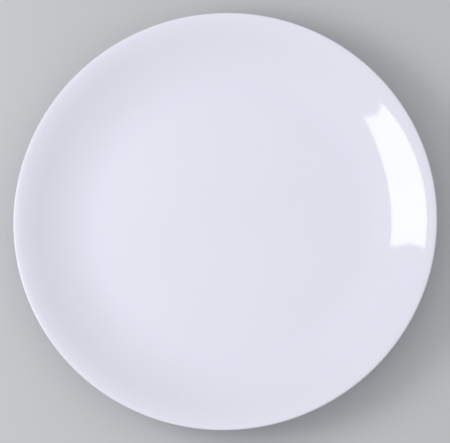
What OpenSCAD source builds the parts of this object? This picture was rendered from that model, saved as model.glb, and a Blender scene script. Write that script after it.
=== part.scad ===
// Coupe salad plate: a pressed porcelain body with a foot ring, under a thin coat of clear glaze

/* [Plate] */
// Diameter of the plate over the lip
plate_d = 203; // [170:1:280]
// Width of the rim, from the edge of the flat well out to the lip
rim_w = 40.5; // [32:0.5:60]
// Thickness of the porcelain under the well
floor_t = 3.9; // [2.5:0.1:7]
// Thickness of the porcelain at the inner line of the lip
rim_t = 1.9; // [1:0.1:4]

/* [Rim curve] */
// Radius of the knuckle, the turn from the well up into the rim
knuckle_r = 49; // [15:1:70]
// Slope of the face where the knuckle ends, in degrees
knuckle_slope = 19; // [12:0.5:30]
// Degrees by which the face steepens from the knuckle to its steepest line
rim_gain = 9.5; // [1:0.5:14]
// Degrees by which the flare eases the slope again before the lip
flare_drop = 9; // [1:0.5:14]
// Width of the flare, from the steepest line out to the lip
flare_w = 7.8; // [3:0.2:12]
// Width of the lip, over which the face turns almost level
lip_w = 2.2; // [1.5:0.1:8]
// Rounding of the upper edge of the lip
lip_edge_r = 0.4; // [0.2:0.1:1]

/* [Foot ring] */
// Height of the foot ring below the underside of the porcelain
foot_h = 3; // [2:0.1:6]
// Width of the foot ring at the standing end
foot_w = 4.2; // [3:0.1:8]
// Lean of the foot ring's two walls, in degrees
foot_draft = 12; // [2:1:25]
// Room round the foot ring when the plate stands in the well of another
stack_gap = 4; // [2.5:0.5:12]
// Fillet where the foot ring joins the underside
root_r = 1.5; // [0.5:0.1:2.2]
// Rounding of the foot ring's standing edges
edge_r = 0.7; // [0.3:0.1:1.2]

/* [Glaze] */
// Thickness of the fired glaze
glaze_t = 0.25; // [0.1:0.05:0.5]
// Height of the wall wiped bare above the rounded standing edge
wipe_h = 0.5; // [0.2:0.1:0.8]

/* [Hidden] */

// Smoothness: sides of a full turn, and steps along each round stretch of the outline
turn_fn = 180;
knuckle_steps = 14;
rim_steps = 5;
flare_steps = 5;
lip_steps = 6;
lip_edge_steps = 6;
under_lip_steps = 10;
root_steps = 8;
edge_steps = 6;

// Plan radii and heights of the porcelain, with the standing edge at height zero
plate_r = plate_d / 2;
well_r = plate_r - rim_w;
floor_z = foot_h + floor_t;

// Slopes along the face
rim_slope = knuckle_slope + rim_gain;
lip_slope = rim_slope - flare_drop;
edge_slope = 2;

// The face ends where the upper edge of the lip begins to round, and its lip and flare lie inside that
tip_r = plate_r - glaze_t;
face_end_r = tip_r - lip_edge_r * (1 + sin(edge_slope));
lip_r = face_end_r - lip_w;
steep_r = lip_r - flare_w;

// Foot ring: the turn from wall to floor, and the share of a rounding that stands on the wall
foot_outer_r = well_r - stack_gap;
foot_middle_r = foot_outer_r - foot_w / 2;
foot_turn = 90 - foot_draft;
wall_share = 1 - sin(foot_draft);
edge_top_z = edge_r * wall_share;
glaze_line_z = edge_top_z + wipe_h;

// The root fillet leaves a little straight wall above the glaze line
wall_min = 0.1;
root_fit_r = min(root_r, (foot_h - glaze_line_z - wall_min) / wall_share);

function last(list) = list[len(list) - 1];
function up(slope) = [-sin(slope), cos(slope)];
function points(stations) = [for (s = stations) s[0]];
function reversed(list) = [for (i = [len(list) - 1:-1:0]) list[i]];

// Radius of the bend that takes the face across a width between two slopes, negative where it flares
function bend_r(width, slope_a, slope_b) = width / (sin(slope_b) - sin(slope_a));

// Stations along a bend, each a point and the slope of the face there
function bend(start, r, slope_a, slope_b, steps) = [
    for (i = [1:steps])
        let (slope = slope_a + (slope_b - slope_a) * i / steps)
        [start + r * [sin(slope) - sin(slope_a), cos(slope_a) - cos(slope)], slope]
];

// Points on an arc about a centre, from one angle to another
function arc(centre, r, angle_a, angle_b, steps) = [
    for (i = [0:steps])
        let (angle = angle_a + (angle_b - angle_a) * i / steps)
        centre + r * [cos(angle), sin(angle)]
];

// Points on a curve that leaves one point towards a corner and comes to another from it, without its ends
function rounded(start, corner, end, steps) = [
    for (i = [1:steps - 1])
        let (t = i / steps)
        (1 - t) * (1 - t) * start + 2 * t * (1 - t) * corner + t * t * end
];

// The porcelain thins evenly from the edge of the well to the lip
function wall(r) =
    let (share = (r - well_r) / (lip_r - well_r))
    floor_t + (rim_t - floor_t) * share * share * (3 - 2 * share);

// Face of the porcelain: knuckle, steepening rim and flare, then the lip outside them
well_edge = [well_r, floor_z];
knuckle = bend(well_edge, knuckle_r, 0, knuckle_slope, knuckle_steps);
knuckle_end = last(knuckle)[0];
rim_bend_r = bend_r(steep_r - knuckle_end[0], knuckle_slope, rim_slope);
rim = bend(knuckle_end, rim_bend_r, knuckle_slope, rim_slope, rim_steps);
steep_line = last(rim)[0];
flare_bend_r = bend_r(flare_w, rim_slope, lip_slope);
flare = bend(steep_line, flare_bend_r, rim_slope, lip_slope, flare_steps);
lip_line = last(flare)[0];
lip_bend_r = bend_r(lip_w, lip_slope, edge_slope);
lip = bend(lip_line, lip_bend_r, lip_slope, edge_slope, lip_steps);
face = concat([[well_edge, 0]], knuckle, rim, flare);

// Upper edge of the lip, from the face out to the tip
lip_edge_centre = last(lip)[0] - lip_edge_r * up(edge_slope);
lip_edge = arc(lip_edge_centre, lip_edge_r, edge_slope + 90, 0, lip_edge_steps);
lip_tip = last(lip_edge);

// Back of the porcelain, one wall thickness below the face, and the round underside of the lip
back = [for (s = reversed(face)) s[0] - wall(s[0][0]) * up(s[1])];
back_reach = (tip_r - back[0][0]) * tan(lip_slope);
lip_corner = [tip_r, min(back[0][1] + back_reach, lip_tip[1] - rim_t / 2)];
under_lip = rounded(lip_tip, lip_corner, back[0], under_lip_steps);

// Outer side of the foot ring, from the root fillet down to the standing edge
root_start_r = foot_outer_r + foot_h * tan(foot_draft) + root_fit_r * tan(foot_turn / 2);
root = arc([root_start_r, foot_h - root_fit_r], root_fit_r, 90, 90 + foot_turn, root_steps);
glaze_line = [foot_outer_r + glaze_line_z * tan(foot_draft), glaze_line_z];
edge_centre = [foot_outer_r - edge_r * tan(foot_turn / 2), edge_r];
edge = arc(edge_centre, edge_r, -foot_draft, -90, edge_steps);

// The inner side of the foot ring mirrors the outer one
function mirrored(list) = [for (p = reversed(list)) [2 * foot_middle_r - p[0], p[1]]];

// Outline of the porcelain from the axis over the face, lip, back and foot to the axis again
face_side = concat([[0, floor_z]], points(face), points(lip), [for (i = [1:lip_edge_steps]) lip_edge[i]]);
back_side = concat(under_lip, back, root, [glaze_line]);
bare_edge = concat(edge, mirrored(edge));
recess_side = concat(mirrored(concat(root, [glaze_line])), [[0, foot_h]]);
outline = concat(face_side, back_side, bare_edge, recess_side);

// Places along the outline where one coat of glaze ends
lip_seam = len(face_side) - 1;
outer_line = lip_seam + len(back_side);
inner_line = outer_line + len(bare_edge) + 1;
outline_end = len(outline) - 1;

// Outward normal of the outline's stretch after point i
function side(i) =
    let (run = outline[i + 1] - outline[i])
    [-run[1], run[0]] / norm(run);

// Offset at point i that keeps a coat equally thick on the stretches before and after it
function mitre(i) =
    let (before = side(max(i - 1, 0)), after = side(min(i, outline_end - 1)))
    (before + after) / (1 + before * after);

// A coat of glaze on the porcelain, from one point of the outline to another
module coat(first, end) {
    inside = [for (i = [first:end]) outline[i]];
    outside = [for (i = [end:-1:first]) outline[i] + glaze_t * mitre(i)];
    rotate_extrude($fn = turn_fn) polygon(concat(inside, outside));
}

// Fired porcelain, bare only on the standing edge of the foot ring
module porcelain_body() {
    color("linen") rotate_extrude($fn = turn_fn) polygon(outline);
}

// Glaze over the well and rim, out to the lip
module face_glaze() {
    color("ghostwhite") coat(0, lip_seam);
}

// Glaze under the rim, from the lip in to the wiped foot
module back_glaze() {
    color("aliceblue") coat(lip_seam, outer_line);
}

// Glaze inside the foot ring
module recess_glaze() {
    color("lavender") coat(inner_line, outline_end);
}

porcelain_body();
face_glaze();
back_glaze();
recess_glaze();
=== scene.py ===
import math

import bmesh
import bpy
import numpy as np
from mathutils import Matrix, Vector


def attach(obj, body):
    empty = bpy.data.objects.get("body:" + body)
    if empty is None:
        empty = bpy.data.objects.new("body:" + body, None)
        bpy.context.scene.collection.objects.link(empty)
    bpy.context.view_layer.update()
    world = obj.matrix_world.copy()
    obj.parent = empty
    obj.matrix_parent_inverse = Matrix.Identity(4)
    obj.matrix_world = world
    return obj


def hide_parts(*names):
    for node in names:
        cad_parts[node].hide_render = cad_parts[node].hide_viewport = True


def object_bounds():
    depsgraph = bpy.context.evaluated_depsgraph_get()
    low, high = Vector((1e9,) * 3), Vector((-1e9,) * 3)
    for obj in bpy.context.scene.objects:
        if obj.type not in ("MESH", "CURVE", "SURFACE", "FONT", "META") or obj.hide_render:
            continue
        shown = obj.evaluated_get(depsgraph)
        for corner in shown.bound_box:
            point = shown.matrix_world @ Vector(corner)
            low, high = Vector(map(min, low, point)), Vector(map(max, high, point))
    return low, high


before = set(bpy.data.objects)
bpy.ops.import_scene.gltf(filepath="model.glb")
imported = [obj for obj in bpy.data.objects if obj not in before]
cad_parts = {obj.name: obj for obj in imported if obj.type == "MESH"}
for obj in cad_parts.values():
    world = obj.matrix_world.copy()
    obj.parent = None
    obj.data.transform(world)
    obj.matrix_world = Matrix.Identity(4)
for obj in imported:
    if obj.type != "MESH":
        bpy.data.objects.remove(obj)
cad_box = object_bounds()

# Sizes of the plate, in metres and degrees
PLATE_R = cad_box[1].x
RIM_W = 0.0405
FLOOR_T = 0.0039
RIM_T = 0.0019
KNUCKLE_R = 0.049
KNUCKLE_SLOPE = 19.0
STEEP_SLOPE = 28.5
LIP_SLOPE = 19.5
EDGE_SLOPE = 2.0
FLARE_W = 0.0078
LIP_W = 0.0022
LIP_EDGE_R = 0.0004
FOOT_H = 0.003
FOOT_W = 0.0042
FOOT_DRAFT = 12.0
STACK_GAP = 0.004
ROOT_R = 0.0015
FOOT_EDGE_R = 0.0007
GLAZE_T = 0.00025
WIPE_H = 0.0005

# Places worked out from those sizes
WELL_R = PLATE_R - RIM_W
FLOOR_Z = FOOT_H + FLOOR_T
FACE_END_R = PLATE_R - GLAZE_T - LIP_EDGE_R * (1 + math.sin(math.radians(EDGE_SLOPE)))
LIP_R = FACE_END_R - LIP_W
STEEP_R = LIP_R - FLARE_W
KNUCKLE_END_R = WELL_R + KNUCKLE_R * math.sin(math.radians(KNUCKLE_SLOPE))
FOOT_OUTER_R = WELL_R - STACK_GAP
FOOT_MIDDLE_R = FOOT_OUTER_R - FOOT_W / 2

# Each bend of the face eases into the next over this much to either side, and over less near the lip
EASE = 0.0025
EASE_AT_LIP = 0.0005
EASE_TAPER = 1 / 3
EASE_SAMPLES = 9

# Fineness of the turned meshes
TURN_STEPS = 192
WELL_RINGS = 14
FACE_STEP = 0.0005
LIP_EDGE_STEPS = 10
UNDER_LIP_STEPS = 14
ROOT_STEPS = 10
FOOT_WALL_STEPS = 8
FOOT_EDGE_STEPS = 8
SHARP_EDGE = math.radians(50)
ON_AXIS = 1e-7

# The bead where the glaze was wiped off the foot, and how far its line wanders up and down
BEAD_SWELL = 0.35
BEAD_W = 0.0005
LINE_WANDER = 0.0001
LINE_WAVES = ((3, 0.4, 0.5), (7, 1.9, 0.3), (16, 4.1, 0.2))

# Colours, as linear light
GLAZE_WHITE = (0.802, 0.815, 0.925, 1)
GLAZE_POOLED = (0.797, 0.812, 0.926, 1)
GLAZE_THIN = (0.82, 0.815, 0.88, 1)
GLAZE_SPECK = (0.50, 0.50, 0.52, 1)
METAL_GREY = (0.55, 0.55, 0.58, 1)
BARE_CLAY = (0.80, 0.785, 0.755, 1)
RUBBED_CLAY = (0.70, 0.69, 0.67, 1)
FLOOR_GREY = (0.57, 0.58, 0.60, 1)

# Fired glaze: patches of tone, specks and smears in the gloss, counted per metre
GLAZE_PATCHES = 24.0
GLAZE_TONE_SPREAD = 0.04
SPECK_CELLS = 80.0
SPECK_CORE = 0.010
SPECK_OUTSIDE = 0.020
SMEAR_PATCHES = 55
SMEAR_DETAIL = 4.0
SMEAR_RANGE = (0.35, 0.75)
SMEAR_ROUGHNESS = 0.03
GLAZE_IOR = 1.52

# Relief of the glaze: its height in metres, and the shares of orange peel, grain and forming rings in it
GLAZE_RELIEF = 0.00003
PEEL_DIMPLES = 110
PEEL_SHARE = 0.8
GRAIN_FINENESS = 620
GRAIN_SHARE = 0.05
FORMING_RING_W = 0.0045
RING_SHARE = 0.1

# What differs from coat to coat: where it pools, how strong its specks are and how glossy it is
FACE_POOL_REACH = 0.004
FOOT_POOL_W = 0.008
FACE_SPECKS = 0.25
BACK_SPECKS = 0.5
FACE_ROUGHNESS = 0.055
BACK_ROUGHNESS = 0.07

# Cutlery marks: the turn in degrees and the shift of each set, their fineness, and their strength
MARK_SETS = ((20, 0.0), (75, 0.3), (140, 0.7))
MARK_FINENESS = (50, 2400, 50)
MARK_RANGE = (0.68, 0.76)
MARKS_FADE_W = 0.012
MARK_TINT = 0.12
MARK_ROUGHNESS = 0.12

# Bare clay: its grit, and the patches rubbed smooth on the lowest part of the foot
GRIT_FINENESS = 2600.0
GRIT_DETAIL = 3.0
GRIT_TONE_SPREAD = 0.25
GRIT_BUMP = 0.7
CLAY_RELIEF = 0.00003
CLAY_ROUGHNESS = 0.85
RUB_PATCHES = 90
RUB_DETAIL = 4.0
RUB_RANGE = (0.3, 0.65)
RUB_LEAST = 0.25
RUB_HEIGHTS = (0.00002, 0.0002)
RUBBED_ROUGHNESS = 0.6

# The floor's paint
FLOOR_PATCHES = 6.0
FLOOR_TONE_SPREAD = 0.06
FLOOR_ROUGHNESS = 0.85
FLOOR_SPECULAR = 0.2

# Noise of the uneven tones, and the middle of the range that a noise gives
TONE_DETAIL = 3.0
NOISE_MIDDLE = 0.5

# Sockets of a Mix node that blends colours
MIX_SHARE = 0
MIX_ONE = 6
MIX_OTHER = 7
MIX_RESULT = 2

# The camera: its lean off the plate's axis and which way, and the rim's size and place in the picture
CAMERA_DISTANCE = 2.0
CAMERA_LEAN = 10.86
CAMERA_SIDE = (0.282, -0.9594)
PICTURE_W = 450
RIM_HALF_WIDTH_PX = 212.2
RIM_RIGHT_PX = -0.28
RIM_UP_PX = 1.84
SENSOR_W = 36

# The soft box: its direction from the plate, its distance, and its edges as shares of that distance
KEY_AZIMUTH = 177.0
KEY_OFF_VERTICAL = 40.92
KEY_DISTANCE = 0.7
KEY_TWIST = 7.27
KEY_TIP = 35.0
KEY_LEFT = -0.253
KEY_RIGHT = 0.265
KEY_TOP = 0.10
KEY_BOTTOM = -0.37
KEY_RADIANCE = 4.8

# Light from all round, as a share of white
SKY_WHITE = (1, 1, 1, 1)
OVERHEAD_LIGHT = 0.868
LEVEL_LIGHT = 0.34

# The floor: its width, and how far it lies below the foot so that the two faces stay apart
FLOOR_SIZE = 12
FLOOR_DROP = 0.00005


def up(slope):
    """Unit normal of a face that rises outwards at this slope, in degrees."""
    turn = math.radians(slope)
    return np.array((-math.sin(turn), math.cos(turn)))


def arc(centre, r, start, end, steps):
    """Points on an arc about a centre, from one angle to another, in degrees."""
    turns = np.radians(np.linspace(start, end, steps + 1))
    return np.array(centre) + r * np.column_stack((np.cos(turns), np.sin(turns)))


def face_stations():
    """Radius, height and slope along the porcelain's face, from the axis to the round edge of the lip."""
    curve_start = WELL_R - EASE
    well = np.linspace(0, curve_start, WELL_RINGS, endpoint=False)
    rim = np.linspace(curve_start, FACE_END_R, round((FACE_END_R - curve_start) / FACE_STEP))
    radii = np.concatenate((well, rim))
    knots = (0, WELL_R, KNUCKLE_END_R, STEEP_R, LIP_R, FACE_END_R)
    rises = np.sin(np.radians((0, 0, KNUCKLE_SLOPE, STEEP_SLOPE, LIP_SLOPE, EDGE_SLOPE)))
    beyond = rises[-1] + (rises[-1] - rises[-2]) * EASE_AT_LIP / LIP_W
    knots += (FACE_END_R + EASE_AT_LIP,)
    rises = np.append(rises, beyond)
    ease = np.clip((FACE_END_R - radii) * EASE_TAPER, EASE_AT_LIP, EASE)
    window = ease[:, None] * np.linspace(-1, 1, EASE_SAMPLES)
    slopes = np.arcsin(np.interp(radii[:, None] + window, knots, rises).mean(axis=1))
    climbs = np.diff(radii) * (np.tan(slopes[1:]) + np.tan(slopes[:-1])) / 2
    heights = FLOOR_Z + np.concatenate(((0,), np.cumsum(climbs)))
    return radii, heights, np.degrees(slopes)


def wall(radii):
    """Thickness of the porcelain, even under the well and thinning to the lip."""
    share = np.clip((radii - WELL_R) / (LIP_R - WELL_R), 0, 1)
    return FLOOR_T + (RIM_T - FLOOR_T) * share**2 * (3 - 2 * share)


def rounded(start, corner, end, steps):
    """Points on a curve from a start towards a corner and on to an end, without the end."""
    share = np.linspace(0, 1, steps, endpoint=False)[:, None]
    return (1 - share) ** 2 * start + 2 * share * (1 - share) * corner + share**2 * end


def inner_side(points):
    """The foot ring's outer side turned over to its inner side."""
    return points[::-1] * (-1, 1) + (2 * FOOT_MIDDLE_R, 0)


def plate_lines(line_shift=0.0):
    """The porcelain's outline in four stretches, with the glaze line on the foot shifted up or down.

    They are the face side, the back side, the bare edge and the recess side.
    """
    radii, heights, slopes = face_stations()
    face = np.column_stack((radii, heights))
    normals = np.array([up(slope) for slope in slopes])
    lip_edge_centre = face[-1] - LIP_EDGE_R * normals[-1]
    lip_edge = arc(lip_edge_centre, LIP_EDGE_R, slopes[-1] + 90, 0, LIP_EDGE_STEPS)
    tip = lip_edge[-1]

    turn = 90 - FOOT_DRAFT
    half_turn = math.tan(math.radians(turn / 2))
    lean = math.tan(math.radians(FOOT_DRAFT))
    root_start = FOOT_OUTER_R + FOOT_H * lean + ROOT_R * half_turn
    root = arc((root_start, FOOT_H - ROOT_R), ROOT_R, 90, 90 + turn, ROOT_STEPS)
    line_z = FOOT_EDGE_R * (1 - math.sin(math.radians(FOOT_DRAFT))) + WIPE_H + line_shift
    glaze_line = np.array((FOOT_OUTER_R + line_z * lean, line_z))
    foot_wall = np.linspace(root[-1], glaze_line, FOOT_WALL_STEPS + 1)[1:]
    edge_centre = (FOOT_OUTER_R - FOOT_EDGE_R * half_turn, FOOT_EDGE_R)
    edge = arc(edge_centre, FOOT_EDGE_R, -FOOT_DRAFT, -90, FOOT_EDGE_STEPS)

    under_rim = (radii > root_start + FACE_STEP / 2) & (radii < LIP_R)
    back = (face - wall(radii)[:, None] * normals)[under_rim][::-1]
    back_reach = (tip[0] - back[0][0]) * math.tan(math.radians(slopes[under_rim][-1]))
    lip_corner = np.array((tip[0], min(back[0][1] + back_reach, tip[1] - RIM_T / 2)))
    under_lip = rounded(tip, lip_corner, back[0], UNDER_LIP_STEPS)
    foot_side = np.concatenate((root, foot_wall))
    face_side = np.concatenate((face, lip_edge[1:]))
    back_side = np.concatenate((under_lip, back, foot_side))
    bare_edge = np.concatenate((edge, inner_side(edge)))
    recess_side = np.concatenate((inner_side(foot_side), ((0, FOOT_H),)))
    return face_side, back_side, bare_edge, recess_side


def side_normals(line):
    """Outward normal of each stretch of a line."""
    runs = np.diff(line, axis=0)
    return np.column_stack((-runs[:, 1], runs[:, 0])) / np.linalg.norm(runs, axis=1)[:, None]


def wiped_thickness(line):
    """Thickness of a coat along a line that ends in a rounded bead where the glaze was wiped."""
    steps = np.linalg.norm(np.diff(line, axis=0), axis=1)
    to_end = np.concatenate((np.cumsum(steps[::-1])[::-1], (0,)))
    swell = 1 + BEAD_SWELL * np.exp(-((to_end / BEAD_W - 1) ** 2))
    roundness = np.sqrt(1 - (1 - np.clip(to_end / GLAZE_T, 0, 1)) ** 2)
    return GLAZE_T * swell * roundness


def coat(line, thickness, before=None, after=None):
    """Closed section of a coat on a line, given the normals of the stretches before and after it."""
    sides = side_normals(line)
    first = sides[0] if before is None else before
    last = sides[-1] if after is None else after
    ahead = np.concatenate((sides, (last,)))
    behind = np.concatenate(((first,), sides))
    mitre = (behind + ahead) / (1 + (behind * ahead).sum(axis=1))[:, None]
    outside = line + thickness[:, None] * mitre
    return np.concatenate((line, outside[thickness > 0][::-1]))


def line_wander(angle):
    """How far the wiped glaze line stands above or below its mean height at an angle round the foot."""
    shifts = (share * math.sin(waves * angle + start) for waves, start, share in LINE_WAVES)
    return LINE_WANDER * sum(shifts)


def porcelain_section(angle):
    """Closed section of the porcelain, the same at every angle."""
    face_side, back_side, bare_edge, recess_side = plate_lines()
    return np.concatenate((face_side, back_side[1:], bare_edge, recess_side))


def face_section(angle):
    """Closed section of the glaze on the face, the same at every angle."""
    face_side, back_side, _, _ = plate_lines()
    even = np.full(len(face_side), GLAZE_T)
    return coat(face_side, even, after=side_normals(back_side)[0])


def back_section(angle):
    """Closed section of the glaze on the back, down to the wiped line at this angle."""
    face_side, back_side, _, _ = plate_lines(line_wander(angle))
    return coat(back_side, wiped_thickness(back_side), before=side_normals(face_side)[-1])


def recess_section(angle):
    """Closed section of the glaze inside the foot, from the wiped line at this angle to the axis."""
    recess_side = plate_lines(line_wander(angle + math.pi))[3]
    thickness = wiped_thickness(recess_side[::-1])[::-1]
    return coat(recess_side, thickness)


def turned(name, section, material):
    """A closed mesh turned about the plate's axis from the section at each angle."""
    mesh = bmesh.new()
    columns = []
    axis_points = {}
    for step in range(TURN_STEPS):
        angle = 2 * math.pi * step / TURN_STEPS
        column = []
        for place, (r, z) in enumerate(section(angle)):
            if r > ON_AXIS:
                column.append(mesh.verts.new((r * math.cos(angle), r * math.sin(angle), z)))
                continue
            if place not in axis_points:
                axis_points[place] = mesh.verts.new((0, 0, z))
            column.append(axis_points[place])
        columns.append(column)
    for here, there in zip(columns, columns[1:] + columns[:1]):
        for place in range(len(here)):
            corners = (here[place - 1], there[place - 1], there[place], here[place])
            corners = list(dict.fromkeys(corners))
            if len(corners) > 2:
                mesh.faces.new(corners).smooth = True
    bmesh.ops.recalc_face_normals(mesh, faces=mesh.faces)
    for edge in mesh.edges:
        edge.smooth = edge.calc_face_angle(0) < SHARP_EDGE
    data = bpy.data.meshes.new(name)
    mesh.to_mesh(data)
    mesh.free()
    data.materials.append(material)
    piece = bpy.data.objects.new(name, data)
    bpy.context.scene.collection.objects.link(piece)
    return piece


def node(tree, kind, values=None, **settings):
    """A shader node with its settings, and its inputs set to values or linked to sockets."""
    made = tree.nodes.new(kind)
    for name, value in settings.items():
        setattr(made, name, value)
    for name, value in (values or {}).items():
        if isinstance(value, bpy.types.NodeSocket):
            tree.links.new(value, made.inputs[name])
        else:
            made.inputs[name].default_value = value
    return made


def maths(tree, operation, *values):
    """The result of a Math node."""
    return node(tree, "ShaderNodeMath", dict(enumerate(values)), operation=operation).outputs[0]


def spread(tree, value, low, high, to_low=0.0, to_high=1.0):
    """A value's range from low to high, mapped smoothly to another."""
    values = {"Value": value, "From Min": low, "From Max": high, "To Min": to_low, "To Max": to_high}
    return node(tree, "ShaderNodeMapRange", values, interpolation_type="SMOOTHSTEP").outputs[0]


def own_place(tree):
    """A point's place on the plate, in metres."""
    return node(tree, "ShaderNodeTexCoord").outputs["Object"]


def noise(tree, place, scale, detail=2.0):
    """Noise with features one over scale of a metre across."""
    values = {"Vector": place, "Scale": scale, "Detail": detail}
    return node(tree, "ShaderNodeTexNoise", values).outputs[0]


def blended(tree, share, one, other):
    """A colour between two, by share."""
    values = {MIX_SHARE: share, MIX_ONE: one, MIX_OTHER: other}
    return node(tree, "ShaderNodeMix", values, data_type="RGBA").outputs[MIX_RESULT]


def new_group(name, takes, gives):
    """An empty shader node group with named sockets, and its input and output sockets."""
    tree = bpy.data.node_groups.new(name, "ShaderNodeTree")
    for socket, kind in takes:
        tree.interface.new_socket(name=socket, in_out="INPUT", socket_type="NodeSocket" + kind)
    for socket, kind in gives:
        tree.interface.new_socket(name=socket, in_out="OUTPUT", socket_type="NodeSocket" + kind)
    return tree, node(tree, "NodeGroupInput").outputs, node(tree, "NodeGroupOutput").inputs


def placed(tree, group, values=None):
    """The outputs of a shader node group placed in a material with its own values."""
    return node(tree, "ShaderNodeGroup", values, node_tree=group).outputs


def distance_from_axis_group():
    """Distance of a point from the plate's axis, in metres."""
    tree, _, result = new_group("distance_from_axis", (), (("Radius", "Float"),))
    level_only = (1, 1, 0)
    values = {0: own_place(tree), 1: level_only}
    flat = node(tree, "ShaderNodeVectorMath", values, operation="MULTIPLY").outputs[0]
    length = node(tree, "ShaderNodeVectorMath", {0: flat}, operation="LENGTH").outputs["Value"]
    tree.links.new(length, result["Radius"])
    return tree


def uneven_tone_group():
    """A colour made a little lighter and darker in soft patches."""
    takes = (("Colour", "Color"), ("Patches per metre", "Float"), ("Spread", "Float"))
    tree, given, result = new_group("uneven_tone", takes, (("Colour", "Color"),))
    patches = noise(tree, own_place(tree), given["Patches per metre"], TONE_DETAIL)
    either_way = maths(tree, "SUBTRACT", patches, NOISE_MIDDLE)
    tone = maths(tree, "MULTIPLY_ADD", either_way, given["Spread"], 1.0)
    toned = node(tree, "ShaderNodeHueSaturation", {"Color": given["Colour"], "Value": tone}).outputs[0]
    tree.links.new(toned, result["Colour"])
    return tree


def glaze_finish_group():
    """Fired glaze: bluer where it pools, warmer where it is thin, with rare specks and an orange peel."""
    takes = (("Colour", "Color"), ("Pooling", "Float"), ("Thinness", "Float"))
    takes += (("Speck strength", "Float"), ("Roughness", "Float"))
    gives = (("Colour", "Color"), ("Roughness", "Float"), ("Height", "Float"))
    tree, given, result = new_group("glaze_finish", takes, gives)
    place = own_place(tree)
    colour = blended(tree, given["Pooling"], given["Colour"], GLAZE_POOLED)
    colour = blended(tree, given["Thinness"], colour, GLAZE_THIN)
    cells = node(tree, "ShaderNodeTexVoronoi", {"Vector": place, "Scale": SPECK_CELLS})
    speck = spread(tree, cells.outputs["Distance"], SPECK_CORE, SPECK_OUTSIDE, 1, 0)
    speck = maths(tree, "MULTIPLY", speck, given["Speck strength"])
    tree.links.new(blended(tree, speck, colour, GLAZE_SPECK), result["Colour"])
    smears = noise(tree, place, SMEAR_PATCHES, SMEAR_DETAIL)
    dulled = spread(tree, smears, *SMEAR_RANGE, 0, SMEAR_ROUGHNESS)
    tree.links.new(maths(tree, "ADD", given["Roughness"], dulled), result["Roughness"])
    peel = maths(tree, "MULTIPLY", noise(tree, place, PEEL_DIMPLES), PEEL_SHARE)
    grain = maths(tree, "MULTIPLY", noise(tree, place, GRAIN_FINENESS), GRAIN_SHARE)
    tree.links.new(maths(tree, "ADD", peel, grain), result["Height"])
    return tree


AXIS_DISTANCE = distance_from_axis_group()
UNEVEN_TONE = uneven_tone_group()
GLAZE_FINISH = glaze_finish_group()


def new_material(name):
    """A material with its node tree and its one shader."""
    material = bpy.data.materials.new(name)
    material.use_nodes = True
    return material, material.node_tree, material.node_tree.nodes["Principled BSDF"]


def band(tree, radius, start, end):
    """One in the middle of a band of radii, falling to nothing at its start and end."""
    middle = (start + end) / 2
    rising = spread(tree, radius, start, middle)
    falling = spread(tree, radius, middle, end, 1, 0)
    return maths(tree, "MINIMUM", rising, falling)


def cutlery_marks(tree, radius):
    """Faint straight rubs that knives leave in the well."""
    place = own_place(tree)
    marks = None
    for turn, shift in MARK_SETS:
        values = {"Vector": place, "Angle": math.radians(turn)}
        turned_place = node(tree, "ShaderNodeVectorRotate", values, rotation_type="Z_AXIS").outputs[0]
        values = {0: turned_place, 1: MARK_FINENESS, 2: (shift, shift, shift)}
        drawn_out = node(tree, "ShaderNodeVectorMath", values, operation="MULTIPLY_ADD").outputs[0]
        rubs = spread(tree, noise(tree, drawn_out, 1), *MARK_RANGE)
        marks = rubs if marks is None else maths(tree, "MAXIMUM", marks, rubs)
    return maths(tree, "MULTIPLY", marks, spread(tree, radius, WELL_R - MARKS_FADE_W, WELL_R, 1, 0))


def glaze(name, pools, specks, roughness, marks=None, rings=False):
    """Glossy white glaze that pools in a band of radii and is thin over the lip."""
    material, tree, shader = new_material(name)
    radius = placed(tree, AXIS_DISTANCE)["Radius"]
    values = {"Colour": GLAZE_WHITE, "Patches per metre": GLAZE_PATCHES, "Spread": GLAZE_TONE_SPREAD}
    toned = placed(tree, UNEVEN_TONE, values)
    values = {"Colour": toned["Colour"], "Pooling": band(tree, radius, *pools)}
    values |= {"Thinness": spread(tree, radius, FACE_END_R, PLATE_R)}
    values |= {"Speck strength": specks, "Roughness": roughness}
    finish = placed(tree, GLAZE_FINISH, values)
    colour, gloss, height = finish["Colour"], finish["Roughness"], finish["Height"]
    if marks:
        rubs = marks(tree, radius)
        colour = blended(tree, maths(tree, "MULTIPLY", rubs, MARK_TINT), colour, METAL_GREY)
        gloss = maths(tree, "MULTIPLY_ADD", rubs, MARK_ROUGHNESS, gloss)
    if rings:
        wave = maths(tree, "SINE", maths(tree, "MULTIPLY", radius, 2 * math.pi / FORMING_RING_W))
        height = maths(tree, "MULTIPLY_ADD", wave, RING_SHARE, height)
    bump = node(tree, "ShaderNodeBump", {"Distance": GLAZE_RELIEF, "Height": height})
    tree.links.new(colour, shader.inputs["Base Color"])
    tree.links.new(gloss, shader.inputs["Roughness"])
    tree.links.new(bump.outputs[0], shader.inputs["Normal"])
    shader.inputs["IOR"].default_value = GLAZE_IOR
    return material


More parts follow.
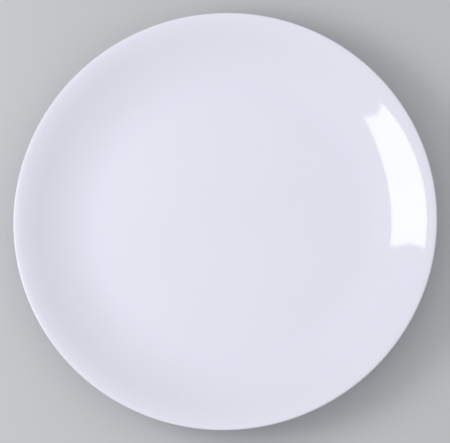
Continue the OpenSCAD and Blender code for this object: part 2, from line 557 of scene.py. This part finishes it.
def bare_porcelain():
    """Matt fired clay with a fine grit, rubbed grey and smooth where it stands."""
    material, tree, shader = new_material("bare_porcelain")
    place = own_place(tree)
    height = node(tree, "ShaderNodeSeparateXYZ", {0: place}).outputs["Z"]
    grit = noise(tree, place, GRIT_FINENESS, GRIT_DETAIL)
    patches = spread(tree, noise(tree, place, RUB_PATCHES, RUB_DETAIL), *RUB_RANGE, RUB_LEAST)
    rubbed = maths(tree, "MULTIPLY", spread(tree, height, *RUB_HEIGHTS, 1, 0), patches)
    colour = blended(tree, rubbed, BARE_CLAY, RUBBED_CLAY)
    values = {"Colour": colour, "Patches per metre": GRIT_FINENESS, "Spread": GRIT_TONE_SPREAD}
    toned = placed(tree, UNEVEN_TONE, values)
    tree.links.new(toned["Colour"], shader.inputs["Base Color"])
    roughness = spread(tree, rubbed, 0, 1, CLAY_ROUGHNESS, RUBBED_ROUGHNESS)
    tree.links.new(roughness, shader.inputs["Roughness"])
    values = {"Strength": GRIT_BUMP, "Distance": CLAY_RELIEF, "Height": grit}
    bump = node(tree, "ShaderNodeBump", values)
    tree.links.new(bump.outputs[0], shader.inputs["Normal"])
    return material


def floor_paint():
    """Plain pale floor with a barely uneven tone."""
    material, tree, shader = new_material("pale_floor")
    values = {"Colour": FLOOR_GREY, "Patches per metre": FLOOR_PATCHES, "Spread": FLOOR_TONE_SPREAD}
    toned = placed(tree, UNEVEN_TONE, values)
    tree.links.new(toned["Colour"], shader.inputs["Base Color"])
    shader.inputs["Roughness"].default_value = FLOOR_ROUGHNESS
    shader.inputs["Specular IOR Level"].default_value = FLOOR_SPECULAR
    return material


def add_pieces():
    """The porcelain and its coats of glaze, each in place of its plain solid."""
    face_pool = (WELL_R - FACE_POOL_REACH, KNUCKLE_END_R)
    back_pool = (FOOT_OUTER_R, FOOT_OUTER_R + FOOT_POOL_W)
    recess_pool = (FOOT_MIDDLE_R - FOOT_POOL_W, FOOT_MIDDLE_R)
    face = glaze("face_glaze_white", face_pool, FACE_SPECKS, FACE_ROUGHNESS, cutlery_marks)
    back = glaze("back_glaze_white", back_pool, BACK_SPECKS, BACK_ROUGHNESS, rings=True)
    recess = glaze("recess_glaze_white", recess_pool, BACK_SPECKS, BACK_ROUGHNESS, rings=True)
    made = (
        ("porcelain", porcelain_section, bare_porcelain(), "porcelain_body", "porcelain"),
        ("glaze_on_face", face_section, face, "face_glaze", "glaze"),
        ("glaze_on_back", back_section, back, "back_glaze", "glaze"),
        ("glaze_in_recess", recess_section, recess, "recess_glaze", "glaze"),
    )
    for name, section, material, solid, slot in made:
        piece = turned(name, section, material)
        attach(piece, "root")
        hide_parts(solid)


def add_floor():
    """The floor that the plate stands on."""
    half = FLOOR_SIZE / 2
    square = ((-half, -half), (half, -half), (half, half), (-half, half))
    corners = [(x, y, -FLOOR_DROP) for x, y in square]
    data = bpy.data.meshes.new("floor")
    data.from_pydata(corners, [], [(0, 1, 2, 3)])
    data.materials.append(floor_paint())
    floor = bpy.data.objects.new("floor", data)
    bpy.context.scene.collection.objects.link(floor)


def add_soft_box():
    """The soft box to the left whose outline shows on the right of the rim."""
    azimuth = math.radians(KEY_AZIMUTH)
    lean = math.radians(KEY_OFF_VERTICAL)
    sideways = math.sin(lean)
    away = Vector((sideways * math.cos(azimuth), sideways * math.sin(azimuth), math.cos(lean)))
    across = Vector((0, 0, 1)).cross(away).normalized()
    across = Matrix.Rotation(math.radians(KEY_TWIST), 3, away) @ across
    behind = Matrix.Rotation(math.radians(KEY_TIP), 3, across) @ away
    rise = behind.cross(across)
    middle = (KEY_LEFT + KEY_RIGHT) / 2 * across + (KEY_TOP + KEY_BOTTOM) / 2 * rise
    lamp = bpy.data.lights.new("soft_box", "AREA")
    lamp.shape = "RECTANGLE"
    lamp.size = (KEY_RIGHT - KEY_LEFT) * KEY_DISTANCE
    lamp.size_y = (KEY_TOP - KEY_BOTTOM) * KEY_DISTANCE
    lamp.energy = KEY_RADIANCE * math.pi * lamp.size * lamp.size_y
    box = bpy.data.objects.new("soft_box", lamp)
    turn = Matrix((across, rise, behind)).transposed().to_4x4()
    box.matrix_world = Matrix.Translation(KEY_DISTANCE * (away + middle)) @ turn
    box.visible_camera = False
    bpy.context.scene.collection.objects.link(box)


def add_sky():
    """Even white light from all round, falling off from overhead to the level of the floor."""
    sky = bpy.data.worlds.new("sky")
    sky.use_nodes = True
    tree = sky.node_tree
    direction = node(tree, "ShaderNodeTexCoord").outputs["Generated"]
    height = node(tree, "ShaderNodeSeparateXYZ", {0: direction}).outputs["Z"]
    limits = {"Value": height, "To Min": LEVEL_LIGHT, "To Max": OVERHEAD_LIGHT}
    strength = node(tree, "ShaderNodeMapRange", limits).outputs[0]
    tree.nodes["Background"].inputs["Color"].default_value = SKY_WHITE
    tree.links.new(strength, tree.nodes["Background"].inputs["Strength"])
    bpy.context.scene.world = sky


def add_camera():
    """The camera almost straight above the plate, leaning towards the bottom of the picture."""
    lean = math.radians(CAMERA_LEAN)
    side_x, side_y = CAMERA_SIDE
    back = Vector((side_x * math.sin(lean), side_y * math.sin(lean), math.cos(lean)))
    lip_tip = plate_lines()[0][-1]
    aim = Vector((0, 0, lip_tip[1]))
    lens = bpy.data.cameras.new("camera")
    lens.sensor_width = SENSOR_W
    lens.lens = RIM_HALF_WIDTH_PX * CAMERA_DISTANCE / PLATE_R * SENSOR_W / PICTURE_W
    camera = bpy.data.objects.new("camera", lens)
    camera.rotation_mode = "QUATERNION"
    turn = Vector((0, 0, 1)).rotation_difference(back)
    camera.rotation_quaternion = turn
    shift = turn @ Vector((RIM_RIGHT_PX, RIM_UP_PX, 0)) * PLATE_R / RIM_HALF_WIDTH_PX
    camera.location = aim - shift + CAMERA_DISTANCE * back
    bpy.context.scene.collection.objects.link(camera)
    bpy.context.scene.camera = camera


add_pieces()
add_floor()
add_soft_box()
add_sky()
add_camera()
bpy.context.scene.view_settings.view_transform = "Standard"
